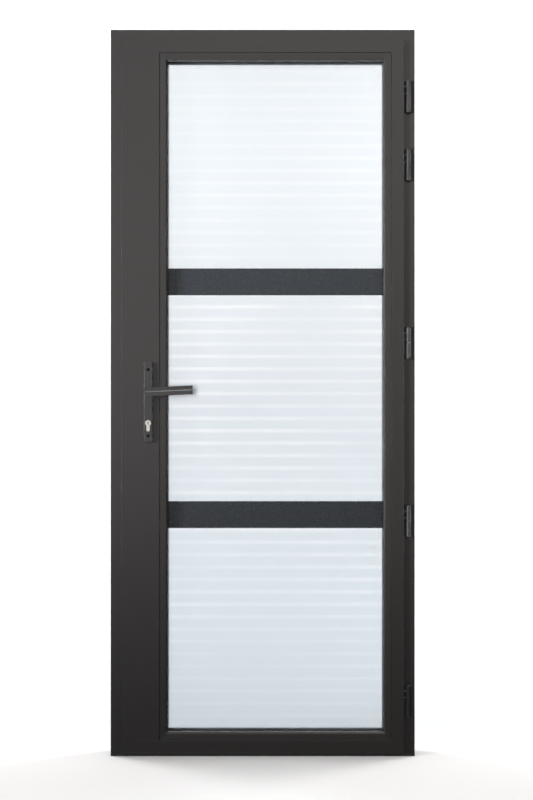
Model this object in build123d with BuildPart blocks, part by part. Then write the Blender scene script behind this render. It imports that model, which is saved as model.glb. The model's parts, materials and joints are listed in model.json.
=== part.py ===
"""Aluminium entrance door in its frame, opening towards the viewer, hinges on the right.

X runs to the right, Y from the room to the outside, Z up, in millimetres.
The origin is at the middle of the door's depth, at the centre of its underside.
"""

from build123d import *
import os

# The door with its frame
door_width = 900.0
door_height = 2150.0
wall = 1.8
profile_edge_radius = 1.0
fit = 0.2
running_fit = 0.05
seal_clearance = 0.3
overrun = 5.0

# Frame profile, threshold and feet
frame_depth = 70.0
frame_face = 40.0
stop_width = 18.0
stop_depth = 12.0
threshold_height = 20.0
threshold_nose = 4.0
foot_height = 4.0
fixing_hole_radius = 5.25
fixing_depth = 45.0
fixing_height_shares = (0.12, 0.37, 0.63, 0.88)

# Leaf profile
leaf_depth = 61.0
leaf_proud = 8.0
leaf_gap = 5.0
leaf_overlap = 8.0
flange_depth = 6.5
leaf_tube = 24.0
lock_tube = 100.0
bead_width = 23.5
fin_depth = 5.0

# Thermal break between the inner and outer shells of every profile
front_shell_depth = 25.0
break_depth = 16.0
groove_depth = 6.5
strip_thickness = 2.0
outer_strip_inset = 3.0
cleat_arm_length = 90.0

# Seals
overlap_seal_inset = 1.5
overlap_seal_width = 5.5
stop_seal_inset = 1.0
stop_seal_width = 8.0
brush_width = 12.0

# Glazing unit with its two crossbars, from the outside in
outer_seal_depth = 4.0
outer_pane_depth = 8.0
cavity_depth = 18.0
inner_pane_depth = 6.0
inner_seal_depth = 3.0
glass_edge_gap = 6.0
glass_seal_width = 10.0
inner_seal_show = 1.0
spacer_inset = 4.0
spacer_width = 7.0
bar_height_shares = (0.3225, 0.6717)
bar_height = 80.0
bar_depth = 10.0
bar_wall = 1.4
bar_edge_radius = 1.5
setting_block_length = 100.0
setting_block_share = 0.3

# Glazing bead
bead_step = 1.5
bead_slope = 0.6
bead_nose = 4.5
bead_wall = 1.4
bead_edge_radius = 1.0

# Weather bar on the outside of the bottom rail
weather_depth = 26.0
weather_height = 38.0
weather_lip = 8.0
weather_top = 6.0
weather_end_gap = 6.0

# Hinges
hinge_height = 94.0
hinge_height_shares = (0.0767, 0.3240, 0.5686, 0.8136, 0.9070)
hinge_from_edge = 18.0
barrel_radius = 7.9
barrel_clearance = 1.0
barrel_edge = 1.5
hinge_pin_radius = 4.0
hinge_end = 6.0
knuckle_gap = 0.6
packer_depth = 1.5
packer_gap = 1.0
packer_from_edge = 3.0
foot_half_width = 5.5
frame_stud_radius = 3.0
frame_stud_length = 10.0
frame_stud_shares = (0.13, 0.38)
leaf_stud_radius = 2.5
leaf_stud_grip = 10.0
leaf_stud_shares = (0.31, 0.096)

# Lock: a case behind a long faceplate, with latch, dead bolt and two hook bolts
spindle_height = 1078.0
backset = 67.5
cylinder_drop = 92.0
faceplate_depth = 3.0
faceplate_rise = 710.0
faceplate_fall = 750.0
case_behind_spindle = 18.0
case_wall = 1.5
case_margin = 12.0
lock_side_gap = 0.5
bolt_depth = 11.0
latch_rise = 42.0
latch_height = 18.0
latch_length = 42.0
latch_nose = 9.0
latch_tip = 2.5
dead_bolt_drop = 44.0
dead_bolt_height = 30.0
dead_bolt_length = 60.0
bolt_shy = 0.5
bolt_slot_gap = 0.5
keep_margin = 20.0
keep_depth = 3.0

# Hook bolts, stored pointing down, and the rods that drive them
hook_rises = (620.0, -680.0)
hook_setback = 17.0
hook_reach = 33.0
hook_width = 10.0
hook_depth = 6.0
hook_nib = 5.0
hook_nib_height = 7.0
hook_eye_radius = 7.0
hook_pin_radius = 3.0
hook_cheek = 2.0
hook_cheek_depth = 27.0
hook_slot_above = 6.5
hook_slot_below = 34.5
hook_keep_below = 28.0
hook_pocket_above = 14.0
rod_width = 10.0
rod_depth = 2.7
rod_front_gap = 0.3
rod_travel = 18.0
rod_end_gap = 3.0

# Profile cylinder
cylinder_radius = 8.5
cylinder_lobe_radius = 5.0
cylinder_height = 33.0
cylinder_show = 2.0
plug_radius = 6.5
key_slot_width = 2.4
key_slot_height = 8.5
key_slot_depth = 12.0
cam_depth = 9.4
cam_slot_depth = 10.0
cam_radius = 8.2
cam_reach = 15.0
cam_width = 7.0
cam_bridge = 8.6

# Handle set
plate_width = 26.0
plate_above = 88.0
plate_below = 148.0
plate_depth = 9.0
plate_edge_radius = 2.5
plate_corner_radius = 3.0
screw_above = 65.5
screw_below = 130.0
screw_radius = 2.5
screw_head_radius = 4.8
screw_head_depth = 2.6
screw_clearance = 0.5
screw_bite = 6.0
spindle_side = 8.0
spindle_hole_radius = 6.2
spindle_fit = 0.1
socket_depth = 20.0
neck_radius = 9.5
neck_seat = 5.0
neck_clearance = 0.4
lever_height = 26.0
lever_ridge_out = 13.0
lever_shoulder_out = 7.0
lever_back_out = 10.0
lever_nose_height = 2.2
lever_nose_drop = 0.63
lever_nose_radius = 0.4
lever_shoulder_radius = 4.0
lever_back_radius = 8.0
lever_end_radius = 2.0
lever_reach = 134.5
lever_heel = 6.5
lever_standoff = 45.0
lever_tilt = 2.4

# Depths, from the room outwards
leaf_front = -leaf_depth / 2
leaf_back = leaf_depth / 2
frame_front = leaf_front + leaf_proud
frame_back = frame_front + frame_depth
stop_front = frame_back - stop_depth
break_front = leaf_front + front_shell_depth
break_back = break_front + break_depth
lock_y = (break_front + break_back) / 2
fin_front = leaf_back - fin_depth
outer_pane_back = fin_front - outer_seal_depth
outer_pane_front = outer_pane_back - outer_pane_depth
inner_pane_back = outer_pane_front - cavity_depth
inner_pane_front = inner_pane_back - inner_pane_depth
bead_back = inner_pane_front - inner_seal_depth
frame_shells = ((frame_front, break_front), (break_back, frame_back))
leaf_shells = ((leaf_front, break_front), (break_back, leaf_back))

# Lines across the door, from its left edge to its right edge
left = -door_width / 2
right = door_width / 2
flange_width = leaf_overlap + leaf_gap
frame_left = left + frame_face
frame_right = right - frame_face
stop_left = frame_left + stop_width
stop_right = frame_right - stop_width
leaf_left = frame_left - leaf_overlap
leaf_right = frame_right + leaf_overlap
body_left = frame_left + leaf_gap
body_right = frame_right - leaf_gap
cell_left = body_left + leaf_tube
floor_left = body_left + lock_tube
floor_right = body_right - leaf_tube
sight_left = floor_left + bead_width
sight_right = floor_right - bead_width

# Lines up the door
frame_top = door_height - frame_face
stop_top = frame_top - stop_width
body_bottom = threshold_height + leaf_gap
body_top = frame_top - leaf_gap
leaf_bottom = body_bottom - flange_width
leaf_top = body_top + flange_width
floor_bottom = body_bottom + leaf_tube
floor_top = body_top - leaf_tube
sight_bottom = floor_bottom + bead_width
sight_top = floor_top - bead_width

# Places of the lock, the handle and the hinges
lock_x = body_left + backset
cylinder_z = spindle_height - cylinder_drop
latch_z = spindle_height + latch_rise
dead_bolt_z = spindle_height - dead_bolt_drop
screw_heights = (spindle_height + screw_above, spindle_height - screw_below)
hook_x = body_left + hook_setback
hook_heights = tuple(spindle_height + rise for rise in hook_rises)
case_low = screw_heights[1] - case_margin
case_high = screw_heights[0] + case_margin
hinge_x = right - hinge_from_edge
hinge_y = frame_front - packer_depth - barrel_clearance - barrel_radius
hinge_heights = tuple(door_height * share for share in hinge_height_shares)
leaf_stud_y = leaf_front + flange_depth / 2
fixing_heights = tuple(door_height * share for share in fixing_height_shares)


def inset(span, amount):
    """A span of coordinates made shorter by the same amount at both ends."""
    return span[0] + amount, span[1] - amount


def front_plane(y):
    """The plane at depth y that faces the viewer: its X and Y are the door's X and Z."""
    return Plane.XZ.offset(-y)


def patch(x, y, mode=Mode.ADD):
    """A rectangle between two pairs of sketch coordinates."""
    with Locations(((x[0] + x[1]) / 2, (y[0] + y[1]) / 2)):
        Rectangle(x[1] - x[0], y[1] - y[0], mode=mode)


def block(x, y, z, mode=Mode.ADD):
    """A rectangular block between three pairs of coordinates."""
    with BuildSketch(Plane.XY.offset(z[0])) as base:
        patch(x, y)
    extrude(base.sketch, amount=z[1] - z[0], mode=mode)


def upright(across, depth, mode=Mode.ADD):
    """A patch in the section of an upright member, drawn on the XY plane."""
    patch(across, depth, mode)


def level(across, depth, mode=Mode.ADD):
    """A patch in the section of a level member, drawn on the YZ plane."""
    patch(depth, across, mode)


def tube(draw, across, depth, thickness):
    """A hollow cell of an extruded profile."""
    draw(across, depth)
    draw(inset(across, thickness), inset(depth, thickness), Mode.SUBTRACT)


def round_front(section, draw):
    """Rounds the two corners of a profile that face the viewer."""
    toward_viewer = Axis.Y if draw is upright else Axis.X
    fillet(section.vertices().group_by(toward_viewer)[0], profile_edge_radius)


def frame_section(draw, body, stop):
    """Two shells of the frame, the outer one with the stop that the leaf closes against."""
    for shell in frame_shells:
        tube(draw, body, shell, wall)
    tube(draw, stop, (stop_front, frame_back), wall)


def leaf_section(draw, cells, flange, fin):
    """Two shells of the leaf, with the flange over the frame and the fin behind the glass."""
    for shell in leaf_shells:
        for cell in cells:
            tube(draw, cell, shell, wall)
    draw(flange, (leaf_front, leaf_front + flange_depth))
    draw(fin, (fin_front, leaf_back))


def clip(*outline):
    """Keeps what lies inside an outline drawn on the face of the door."""
    with BuildSketch(front_plane(frame_back + overrun)) as face:
        Polygon(*outline, align=None)
    extrude(face.sketch, amount=frame_back - leaf_front + overrun * 2, mode=Mode.INTERSECT)


def drill(centres, radius, depth):
    """Round holes from front to back, at places on the face, between two depths."""
    with BuildSketch(front_plane(depth[1])) as rounds:
        with Locations(*centres):
            Circle(radius)
    extrude(rounds.sketch, amount=depth[1] - depth[0], mode=Mode.SUBTRACT)


def ring(x, z, width, depth):
    """A rectangular ring on the face of the door, between two depths."""
    with BuildSketch(front_plane(depth[1])) as face:
        patch(x, z)
        patch(inset(x, width), inset(z, width), Mode.SUBTRACT)
    extrude(face.sketch, amount=depth[1] - depth[0])


def arch(x, z, width, depth):
    """Such a ring without its lower side."""
    with BuildSketch(front_plane(depth[1])) as face:
        patch(x, z)
        patch(inset(x, width), (z[0], z[1] - width), Mode.SUBTRACT)
    extrude(face.sketch, amount=depth[1] - depth[0])


def cleat(x, z, toward, width, depth):
    """An angle piece that fills the corner of two cells, its arms along toward."""
    arm_x, arm_z = cleat_arm_length * toward[0], cleat_arm_length * toward[1]
    in_x, in_z = width * toward[0], width * toward[1]
    with BuildSketch(front_plane(depth[1])) as angle:
        Polygon(
            (x, z),
            (x + arm_x, z),
            (x + arm_x, z + in_z),
            (x + in_x, z + in_z),
            (x + in_x, z + arm_z),
            (x, z + arm_z),
            align=None,
        )
    extrude(angle.sketch, amount=depth[1] - depth[0])


def cylinder_outline(clearance):
    """The keyhole outline of a profile cylinder on the face of the door."""
    lobe_z = cylinder_z + cylinder_radius - cylinder_height + cylinder_lobe_radius
    lobe_half = cylinder_lobe_radius + clearance
    with Locations((lock_x, cylinder_z)):
        Circle(cylinder_radius + clearance)
    with Locations((lock_x, lobe_z)):
        Circle(lobe_half)
    patch((lock_x - lobe_half, lock_x + lobe_half), (lobe_z, cylinder_z))


def keep(builder, label):
    """Names a finished piece and writes it."""
    builder.part.label = label
    export_step(builder.part, f"parts/{label}.step")


os.makedirs("parts", exist_ok=True)

# Frame jambs and head, mitred at the top, the jambs standing on pads
with BuildPart() as frame_lock_jamb:
    with BuildSketch(Plane.XY) as section:
        frame_section(upright, (left, frame_left), (frame_left - wall, stop_left))
        round_front(section, upright)
    extrude(amount=door_height)
    clip(
        (left, foot_height),
        (frame_left, foot_height),
        (frame_left, threshold_height),
        (stop_left, threshold_height),
        (stop_left, stop_top),
        (left, door_height),
    )
    with BuildSketch(Plane.YZ.offset(left)):
        with Locations(*((frame_front + fixing_depth, z) for z in fixing_heights)):
            Circle(fixing_hole_radius)
    extrude(amount=frame_face, mode=Mode.SUBTRACT)
keep(frame_lock_jamb, "frame_lock_jamb")

with BuildPart() as frame_hinge_jamb:
    with BuildSketch(Plane.XY) as section:
        frame_section(upright, (frame_right, right), (stop_right, frame_right + wall))
        round_front(section, upright)
    extrude(amount=door_height)
    clip(
        (right, foot_height),
        (frame_right, foot_height),
        (frame_right, threshold_height),
        (stop_right, threshold_height),
        (stop_right, stop_top),
        (right, door_height),
    )
    with BuildSketch(Plane.YZ.offset(frame_right)):
        with Locations(*((frame_front + fixing_depth, z) for z in fixing_heights)):
            Circle(fixing_hole_radius)
    extrude(amount=frame_face, mode=Mode.SUBTRACT)
    drill(
        [(hinge_x, z - hinge_height * share) for z in hinge_heights for share in frame_stud_shares],
        frame_stud_radius + running_fit,
        (frame_front, frame_front + wall + fit),
    )
keep(frame_hinge_jamb, "frame_hinge_jamb")

with BuildPart() as frame_head:
    with BuildSketch(Plane.YZ.offset(left)) as section:
        frame_section(level, (frame_top, door_height), (stop_top, frame_top + wall))
        round_front(section, level)
    extrude(amount=door_width)
    clip((left, door_height), (stop_left, stop_top), (stop_right, stop_top), (right, door_height))
keep(frame_head, "frame_head")

# Threshold between the jambs: two hollow halves, joined by the thermal break
with BuildPart() as threshold:
    with BuildSketch(Plane.YZ.offset(frame_left)):
        for shell in frame_shells:
            tube(level, (0, threshold_height), shell, wall)
    extrude(amount=frame_right - frame_left)
    nose = threshold.edges().filter_by(Axis.X).group_by(Axis.Z)[-1].sort_by(Axis.Y)[0]
    fillet(nose, min(threshold_nose, threshold_height / 2))
keep(threshold, "threshold")

# Thermal break of the frame, open where the bolts come in, with its block in the threshold
with BuildPart() as frame_thermal_break:
    for strip_inset in (outer_strip_inset, frame_face - groove_depth - strip_thickness):
        arch(
            inset((left, right), strip_inset),
            (foot_height, door_height - strip_inset),
            strip_thickness,
            (break_front, break_back),
        )
    bolt_windows = [
        (latch_z - latch_height, latch_z + latch_height),
        (dead_bolt_z - dead_bolt_height, dead_bolt_z + dead_bolt_height),
    ]
    bolt_windows += [(z - hook_slot_below, z + hook_pocket_above) for z in hook_heights]
    for window in bolt_windows:
        block(
            (frame_left - groove_depth - strip_thickness, frame_left),
            (break_front, break_back),
            window,
            Mode.SUBTRACT,
        )
    block(
        (frame_left, frame_right),
        (break_front, break_back),
        (0, threshold_height - strip_thickness),
    )
keep(frame_thermal_break, "frame_thermal_break")

# Angle pieces in the two upper corners of the frame
with BuildPart() as frame_corner_cleats:
    for shell in frame_shells:
        for x, toward in ((left + wall + fit, 1), (right - wall - fit, -1)):
            cleat(
                x,
                door_height - wall - fit,
                (toward, -1),
                frame_face - (wall + fit) * 2,
                inset(shell, wall + fit),
            )
keep(frame_corner_cleats, "frame_corner_cleats")

# Stop seal round three sides of the frame
with BuildPart() as frame_stop_seal:
    arch(
        inset((body_left, body_right), stop_seal_inset),
        (threshold_height, body_top - stop_seal_inset),
        stop_seal_width,
        (leaf_back + seal_clearance, stop_front),
    )
keep(frame_stop_seal, "frame_stop_seal")

# Pads under the feet of the jambs
with BuildPart() as foot_pads:
    for x in ((left, frame_left), (frame_right, right)):
        block(x, (frame_front, frame_back), (0, foot_height))
keep(foot_pads, "foot_pads")

# Leaf: a wide lock stile, a hinge stile and two rails, mitred at the corners
with BuildPart() as leaf_lock_stile:
    with BuildSketch(Plane.XY) as section:
        leaf_section(
            upright,
            ((body_left, cell_left), (cell_left - wall, floor_left)),
            (leaf_left, body_left),
            (floor_left, sight_left),
        )
        round_front(section, upright)
    extrude(amount=door_height)
    clip(
        (leaf_left, leaf_bottom),
        (cell_left, floor_bottom),
        (floor_left, floor_bottom),
        (sight_left, sight_bottom),
        (sight_left, sight_top),
        (floor_left, floor_top),
        (cell_left, floor_top),
        (leaf_left, leaf_top),
    )
    drill([(lock_x, spindle_height)], neck_radius + neck_clearance, (leaf_front, leaf_back))
    drill([(lock_x, z) for z in screw_heights], screw_radius + screw_clearance, (leaf_front, leaf_back))
    with BuildSketch(front_plane(leaf_back)):
        cylinder_outline(screw_clearance)
    extrude(amount=leaf_depth, mode=Mode.SUBTRACT)
keep(leaf_lock_stile, "leaf_lock_stile")

with BuildPart() as leaf_hinge_stile:
    with BuildSketch(Plane.XY) as section:
        leaf_section(
            upright,
            ((floor_right, body_right),),
            (body_right, leaf_right),
            (sight_right, floor_right),
        )
        round_front(section, upright)
    extrude(amount=door_height)
    clip(
        (leaf_right, leaf_bottom),
        (sight_right, sight_bottom),
        (sight_right, sight_top),
        (leaf_right, leaf_top),
    )
    with BuildSketch(Plane.YZ.offset(leaf_right - leaf_stud_grip)):
        for z in hinge_heights:
            with Locations(*((leaf_stud_y, z + hinge_height * share) for share in leaf_stud_shares)):
                Circle(leaf_stud_radius + running_fit)
    extrude(amount=leaf_stud_grip, mode=Mode.SUBTRACT)
keep(leaf_hinge_stile, "leaf_hinge_stile")

with BuildPart() as leaf_top_rail:
    with BuildSketch(Plane.YZ.offset(left)) as section:
        leaf_section(
            level,
            ((floor_top, body_top),),
            (body_top, leaf_top),
            (sight_top, floor_top),
        )
        round_front(section, level)
    extrude(amount=door_width)
    clip(
        (leaf_left, leaf_top),
        (cell_left, floor_top),
        (floor_left, floor_top),
        (sight_left, sight_top),
        (sight_right, sight_top),
        (leaf_right, leaf_top),
    )
keep(leaf_top_rail, "leaf_top_rail")

with BuildPart() as leaf_bottom_rail:
    with BuildSketch(Plane.YZ.offset(left)) as section:
        leaf_section(
            level,
            ((body_bottom, floor_bottom),),
            (leaf_bottom, body_bottom),
            (floor_bottom, sight_bottom),
        )
        round_front(section, level)
    extrude(amount=door_width)
    clip(
        (leaf_left, leaf_bottom),
        (cell_left, floor_bottom),
        (floor_left, floor_bottom),
        (sight_left, sight_bottom),
        (sight_right, sight_bottom),
        (leaf_right, leaf_bottom),
    )
keep(leaf_bottom_rail, "leaf_bottom_rail")

# Thermal break of the leaf: one ring behind the groove, one beside the glass, open for the lock
with BuildPart() as leaf_thermal_break:
    ring(
        inset((body_left, body_right), groove_depth),
        inset((body_bottom, body_top), groove_depth),
        strip_thickness,
        (break_front, break_back),
    )
    lock_windows = [(case_low - fit, case_high + fit)]
    lock_windows += [(z - hook_slot_below - fit, z + hook_pocket_above + fit) for z in hook_heights]
    for window in lock_windows:
        block(
            (body_left, body_left + groove_depth + strip_thickness),
            (break_front, break_back),
            window,
            Mode.SUBTRACT,
        )
    inner_inset = groove_depth + strip_thickness
    ring(
        (floor_left - inner_inset, floor_right + inner_inset),
        (floor_bottom - inner_inset, floor_top + inner_inset),
        strip_thickness,
        (break_front, break_back),
    )
keep(leaf_thermal_break, "leaf_thermal_break")

# Angle pieces in the four corners of the leaf
with BuildPart() as leaf_corner_cleats:
    for shell in leaf_shells:
        for x, toward_x in ((body_left + wall + fit, 1), (body_right - wall - fit, -1)):
            for z, toward_z in ((body_bottom + wall + fit, 1), (body_top - wall - fit, -1)):
                cleat(
                    x,
                    z,
                    (toward_x, toward_z),
                    leaf_tube - (wall + fit) * 2,
                    inset(shell, wall + fit),
                )
keep(leaf_corner_cleats, "leaf_corner_cleats")

# Seals of the leaf: under the flange all round, and a brush over the threshold
with BuildPart() as leaf_overlap_seal:
    ring(
        inset((leaf_left, leaf_right), overlap_seal_inset),
        inset((leaf_bottom, leaf_top), overlap_seal_inset),
        overlap_seal_width,
        (leaf_front + flange_depth, frame_front - seal_clearance),
    )
keep(leaf_overlap_seal, "leaf_overlap_seal")

with BuildPart() as bottom_seal:
    block(
        inset((body_left, body_right), groove_depth),
        (lock_y - brush_width / 2, lock_y + brush_width / 2),
        (threshold_height + seal_clearance, body_bottom + groove_depth),
    )
keep(bottom_seal, "bottom_seal")


def bead_section(floor, sight, draw_level):
    """A hollow bead, nearly flat, with a bevelled edge at the line of sight."""
    toward = 1 if sight > floor else -1
    corners = (
        (floor + fit * toward, bead_back),
        (floor + fit * toward, leaf_front + bead_step),
        (sight - bead_nose * toward, leaf_front + bead_step + bead_slope),
        (sight, leaf_front + bead_step + bead_slope + bead_nose),
        (sight, bead_back),
    )
    if draw_level:
        corners = tuple((y, across) for across, y in corners)
    outline = Polygon(*corners, align=None)
    rounded = outline.vertices().group_by(Axis.X if draw_level else Axis.Y)[:-1]
    fillet([vertex for group in rounded for vertex in group], bead_edge_radius)
    offset(amount=-bead_wall, kind=Kind.INTERSECTION, mode=Mode.SUBTRACT)


# Glazing beads, mitred
bead_corners = {
    "left": ((floor_left, floor_bottom), (sight_left, sight_bottom)),
    "right": ((floor_right, floor_bottom), (sight_right, sight_bottom)),
}
for side, (floor_corner, sight_corner) in bead_corners.items():
    with BuildPart() as bead:
        with BuildSketch(Plane.XY):
            bead_section(floor_corner[0], sight_corner[0], False)
        extrude(amount=door_height)
        clip(
            floor_corner,
            sight_corner,
            (sight_corner[0], sight_top),
            (floor_corner[0], floor_top),
        )
    keep(bead, f"bead_{side}")

for side, floor_z, sight_z in (("bottom", floor_bottom, sight_bottom), ("top", floor_top, sight_top)):
    with BuildPart() as bead:
        with BuildSketch(Plane.YZ.offset(left)):
            bead_section(floor_z, sight_z, True)
        extrude(amount=door_width)
        clip(
            (floor_left, floor_z),
            (sight_left, sight_z),
            (sight_right, sight_z),
            (floor_right, floor_z),
        )
    keep(bead, f"bead_{side}")

# Glazing unit: two panes on a spacer, crossbars between the panes
pane_x = inset((floor_left, floor_right), glass_edge_gap)
pane_z = inset((floor_bottom, floor_top), glass_edge_gap)

with BuildPart() as inner_pane:
    block(pane_x, (inner_pane_front, inner_pane_back), pane_z)
keep(inner_pane, "inner_pane")

with BuildPart() as outer_pane:
    block(pane_x, (outer_pane_front, outer_pane_back), pane_z)
keep(outer_pane, "outer_pane")

with BuildPart() as glass_spacer:
    ring(
        inset(pane_x, spacer_inset),
        inset(pane_z, spacer_inset),
        spacer_width,
        (inner_pane_back, outer_pane_front),
    )
keep(glass_spacer, "glass_spacer")

bar_x = inset(pane_x, spacer_inset + spacer_width)
bar_y = (inner_pane_back + outer_pane_front) / 2
for place, share in zip(("lower", "upper"), bar_height_shares):
    z = sight_bottom + (sight_top - sight_bottom) * share
    with BuildPart() as crossbar:
        with BuildSketch(Plane.YZ.offset(bar_x[0])):
            with Locations((bar_y, z)):
                RectangleRounded(bar_depth, bar_height, bar_edge_radius)
                Rectangle(bar_depth - bar_wall * 2, bar_height - bar_wall * 2, mode=Mode.SUBTRACT)
        extrude(amount=bar_x[1] - bar_x[0])
    keep(crossbar, f"crossbar_{place}")

with BuildPart() as inner_glazing_seal:
    ring(
        (sight_left + inner_seal_show - glass_seal_width, sight_right - inner_seal_show + glass_seal_width),
        (sight_bottom + inner_seal_show - glass_seal_width, sight_top - inner_seal_show + glass_seal_width),
        glass_seal_width,
        (bead_back, inner_pane_front),
    )
keep(inner_glazing_seal, "inner_glazing_seal")

with BuildPart() as outer_glazing_seal:
    ring(
        (sight_left - glass_seal_width, sight_right + glass_seal_width),
        (sight_bottom - glass_seal_width, sight_top + glass_seal_width),
        glass_seal_width,
        (outer_pane_back, fin_front),
    )
keep(outer_glazing_seal, "outer_glazing_seal")

# Setting blocks between the glass and the floor of its rebate
with BuildPart() as setting_blocks:
    unit_y = (inner_pane_front, outer_pane_back)
    half_block = setting_block_length / 2
    for share in (setting_block_share, 1 - setting_block_share):
        x = pane_x[0] + (pane_x[1] - pane_x[0]) * share
        z = pane_z[0] + (pane_z[1] - pane_z[0]) * share
        for gap in ((floor_bottom, pane_z[0]), (pane_z[1], floor_top)):
            block((x - half_block, x + half_block), unit_y, gap)
        for gap in ((floor_left, pane_x[0]), (pane_x[1], floor_right)):
            block(gap, unit_y, (z - half_block, z + half_block))
keep(setting_blocks, "setting_blocks")

# Weather bar on the outside of the bottom rail
with BuildPart() as weather_bar:
    with BuildSketch(Plane.YZ.offset(stop_left + weather_end_gap)):
        Polygon(
            (leaf_back, body_bottom),
            (leaf_back + weather_depth, body_bottom),
            (leaf_back + weather_depth, body_bottom + weather_lip),
            (leaf_back + weather_top, body_bottom + weather_height),
            (leaf_back, body_bottom + weather_height),
            align=None,
        )
        offset(amount=-wall, kind=Kind.INTERSECTION, mode=Mode.SUBTRACT)
    extrude(amount=stop_right - stop_left - weather_end_gap * 2)
keep(weather_bar, "weather_bar")

# Hinges: a lower half on the frame, an upper half that turns with the leaf, and a pin in both
packer_x = (leaf_right + packer_gap, right - packer_from_edge)
packer_front = frame_front - packer_depth
barrel_half = hinge_height / 2
for number, z in enumerate(hinge_heights, 1):
    with BuildPart() as frame_half:
        with BuildSketch(Plane.XY.offset(z - barrel_half)):
            with Locations((hinge_x, hinge_y)):
                Circle(barrel_radius)
            patch((hinge_x - foot_half_width, hinge_x + foot_half_width), (hinge_y, packer_front))
        extrude(amount=barrel_half - knuckle_gap / 2)
        chamfer(frame_half.edges().filter_by(GeomType.CIRCLE).group_by(Axis.Z)[0], barrel_edge)
        with BuildSketch(Plane.XY.offset(z - barrel_half + hinge_end)):
            with Locations((hinge_x, hinge_y)):
                Circle(hinge_pin_radius + running_fit)
        extrude(amount=barrel_half, mode=Mode.SUBTRACT)
        with BuildSketch(front_plane(packer_front + frame_stud_length)):
            with Locations(*((hinge_x, z - hinge_height * share) for share in frame_stud_shares)):
                Circle(frame_stud_radius)
        extrude(amount=frame_stud_length)
    keep(frame_half, f"hinge_frame_half_{number}")

    with BuildPart() as leaf_half:
        with BuildSketch(Plane.XY.offset(z + knuckle_gap / 2)):
            with Locations((hinge_x, hinge_y)):
                Circle(barrel_radius)
        extrude(amount=barrel_half - knuckle_gap / 2)
        chamfer(leaf_half.edges().filter_by(GeomType.CIRCLE).group_by(Axis.Z)[-1], barrel_edge)
        with BuildSketch(Plane.YZ.offset(leaf_right - leaf_stud_grip)):
            with Locations(*((leaf_stud_y, z + hinge_height * share) for share in leaf_stud_shares)):
                Circle(leaf_stud_radius)
        extrude(amount=hinge_x - leaf_right + leaf_stud_grip)
        with BuildSketch(Plane.XY.offset(z)):
            with Locations((hinge_x, hinge_y)):
                Circle(hinge_pin_radius + running_fit)
        extrude(amount=barrel_half - hinge_end, mode=Mode.SUBTRACT)
    keep(leaf_half, f"hinge_leaf_half_{number}")

with BuildPart() as hinge_pins:
    for z in hinge_heights:
        with BuildSketch(Plane.XY.offset(z - barrel_half + hinge_end)):
            with Locations((hinge_x, hinge_y)):
                Circle(hinge_pin_radius)
        extrude(amount=hinge_height - hinge_end * 2 - seal_clearance)
keep(hinge_pins, "hinge_pins")

with BuildPart() as hinge_packers:
    for z in hinge_heights:
        block(packer_x, (packer_front, frame_front), (z - barrel_half, z + barrel_half))
    drill(
        [(hinge_x, z - hinge_height * share) for z in hinge_heights for share in frame_stud_shares],
        frame_stud_radius + running_fit,
        (packer_front, frame_front),
    )
keep(hinge_packers, "hinge_packers")

# Lock faceplate in the groove of the leaf, with the cheeks and pins that carry the hooks
plate_y = inset((break_front, break_back), fit)
faceplate_x = (body_left, body_left + faceplate_depth)
bolt_y = (lock_y - bolt_depth / 2, lock_y + bolt_depth / 2)
latch_span = (latch_z - latch_height / 2, latch_z + latch_height / 2)
dead_bolt_span = (dead_bolt_z - dead_bolt_height / 2, dead_bolt_z + dead_bolt_height / 2)
hook_slots = [(z - hook_slot_below, z + hook_slot_above) for z in hook_heights]
hook_y = (lock_y - hook_depth / 2, lock_y + hook_depth / 2)
bolt_slot_y = inset(bolt_y, -bolt_slot_gap)
hook_slot_y = inset(hook_y, -bolt_slot_gap)
cheek_x = (faceplate_x[1], faceplate_x[1] + hook_cheek_depth)
cheek_y = inset((break_front, break_back), lock_side_gap)

with BuildPart() as lock_faceplate:
    block(
        faceplate_x,
        plate_y,
        (spindle_height - faceplate_fall, spindle_height + faceplate_rise),
    )
    for span in (inset(latch_span, -bolt_slot_gap), inset(dead_bolt_span, -bolt_slot_gap)):
        block(faceplate_x, bolt_slot_y, span, Mode.SUBTRACT)
    for z, slot in zip(hook_heights, hook_slots):
        block(faceplate_x, hook_slot_y, slot, Mode.SUBTRACT)
        for y in ((cheek_y[0], cheek_y[0] + hook_cheek), (cheek_y[1] - hook_cheek, cheek_y[1])):
            block(cheek_x, y, (slot[0], z + hook_pocket_above))
        with BuildSketch(front_plane(cheek_y[1] - hook_cheek)):
            with Locations((hook_x, z)):
                Circle(hook_pin_radius)
        extrude(amount=cheek_y[1] - cheek_y[0] - hook_cheek * 2)
keep(lock_faceplate, "lock_faceplate")

# Lock case, hollow, open to the bolts, the spindle, the cylinder and the plate screws
case_x = (faceplate_x[1], lock_x + case_behind_spindle)
case_y = inset((break_front, break_back), lock_side_gap)
case_z = (case_low, case_high)

with BuildPart() as lock_case:
    block(case_x, case_y, case_z)
    block(inset(case_x, case_wall), inset(case_y, case_wall), inset(case_z, case_wall), Mode.SUBTRACT)
    for span in (inset(latch_span, -bolt_slot_gap), inset(dead_bolt_span, -bolt_slot_gap)):
        block((case_x[0], case_x[0] + case_wall), bolt_slot_y, span, Mode.SUBTRACT)
    drill([(lock_x, spindle_height)], spindle_hole_radius, case_y)
    drill([(lock_x, z) for z in screw_heights], screw_radius + screw_clearance, case_y)
    with BuildSketch(front_plane(case_y[1])):
        cylinder_outline(fit)
    extrude(amount=case_y[1] - case_y[0], mode=Mode.SUBTRACT)
keep(lock_case, "lock_case")

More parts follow.
